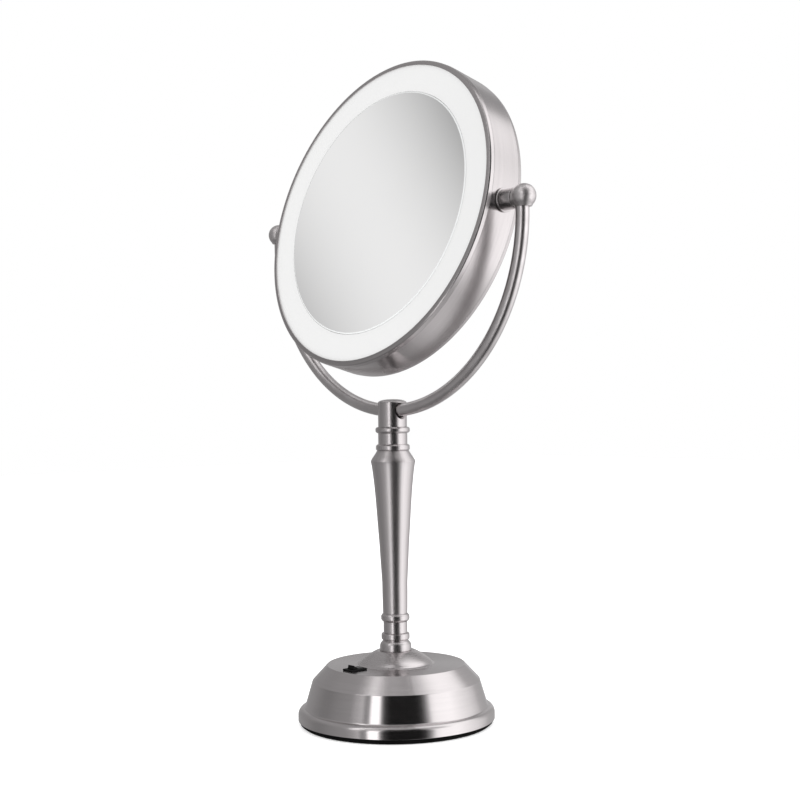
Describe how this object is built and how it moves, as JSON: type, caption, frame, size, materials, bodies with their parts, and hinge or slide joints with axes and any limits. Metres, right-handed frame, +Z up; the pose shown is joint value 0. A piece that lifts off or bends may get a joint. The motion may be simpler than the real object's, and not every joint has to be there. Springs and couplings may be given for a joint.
{
  "type": "lighted vanity mirror",
  "caption": "Round double-sided tilting vanity mirror with a ring light on each face, hung in a U-shaped yoke on a turned column over a weighted battery base.",
  "frame": {"origin": "centre of the foot ring's underside, on the surface the mirror stands on", "axes": "+Z up along the column; X along the tilt axis; the flat mirror faces -Y, leaning back"},
  "size_m": [0.308, 0.1544, 0.5221],
  "materials": {
    "satin_nickel": "brushed satin nickel plate",
    "zinc_steel": "zinc plated",
    "cast_iron": "black painted casting",
    "black_rubber": "matt",
    "black_plastic": "fine matt moulding",
    "gloss_black": "polished moulding",
    "white_plastic": "matt moulding",
    "opal_diffuser": "opal, lit evenly from behind",
    "silvered_glass": "polished, silvered on the back",
    "board_green": "solder mask",
    "board_white": "white solder mask",
    "cell_jacket": "plain printed sleeve with no marks",
    "spring_steel": "nickel plated strip",
    "wire_jacket": "soft jacket"
  },
  "bodies": {
    "stand": {"base_shell": "satin_nickel", "column_escutcheon": "satin_nickel", "lower_bulb": "satin_nickel", "lower_neck": "satin_nickel", "tapered_column": "satin_nickel", "upper_neck": "satin_nickel", "yoke_socket": "satin_nickel", "stem_cap": "satin_nickel", "yoke_tube": "satin_nickel", "pivot_ball_left": "satin_nickel", "pivot_ball_right": "satin_nickel", "pivot_sleeve_left": "satin_nickel", "pivot_sleeve_right": "satin_nickel", "foot_ring": "black_rubber", "base_plate": "black_plastic", "battery_box": "black_plastic", "switch_housing": "black_plastic", "standoff_post_1": "zinc_steel", "standoff_post_2": "zinc_steel", "standoff_post_3": "zinc_steel", "base_screw_1": "zinc_steel", "base_screw_2": "zinc_steel", "base_screw_3": "zinc_steel", "yoke_set_screw": "zinc_steel", "tie_rod": "zinc_steel", "lock_washer": "zinc_steel", "tie_nut": "zinc_steel", "pivot_pin_left": "zinc_steel", "pivot_pin_right": "zinc_steel", "lock_nut_left": "zinc_steel", "lock_nut_right": "zinc_steel", "ballast_weight": "cast_iron", "battery_cell_1": "cell_jacket", "battery_cell_2": "cell_jacket", "battery_cell_3": "cell_jacket", "battery_cell_4": "cell_jacket", "contact_strip_front": "spring_steel", "contact_strip_rear": "spring_steel", "friction_washer_left": "spring_steel", "friction_washer_right": "spring_steel", "driver_board": "board_green", "lead_wire": "wire_jacket"},
    "head": {"rim_band": "satin_nickel", "head_frame": "white_plastic", "bezel_front": "satin_nickel", "bezel_rear": "satin_nickel", "diffuser_front": "opal_diffuser", "diffuser_rear": "opal_diffuser", "led_board_front": "board_white", "led_board_rear": "board_white", "mirror_flat": "silvered_glass", "mirror_magnifying": "silvered_glass", "pivot_bush_left": "black_plastic", "pivot_bush_right": "black_plastic", "rim_washer_left": "satin_nickel", "rim_washer_right": "satin_nickel"},
    "rocker": {"switch_rocker": "gloss_black"},
    "battery_cover": {"battery_door": "black_plastic"}
  },
  "joints": [
    {"name": "head_tilt", "type": "hinge", "parent": "stand", "child": "head", "pos_m": [0, 0, 0.3967], "axis": [1, 0, 0], "range_deg": [-165.4, 194.6]},
    {"name": "switch_press", "type": "hinge", "parent": "stand", "child": "rocker", "pos_m": [0, -0.042, 0.046], "axis": [1, 0, 0], "range_deg": [0, 30]},
    {"name": "battery_cover_turn", "type": "hinge", "parent": "stand", "child": "battery_cover", "pos_m": [0, 0, 0.0053], "axis": [0, 0, 1], "range_deg": [0, 30]}
  ]
}
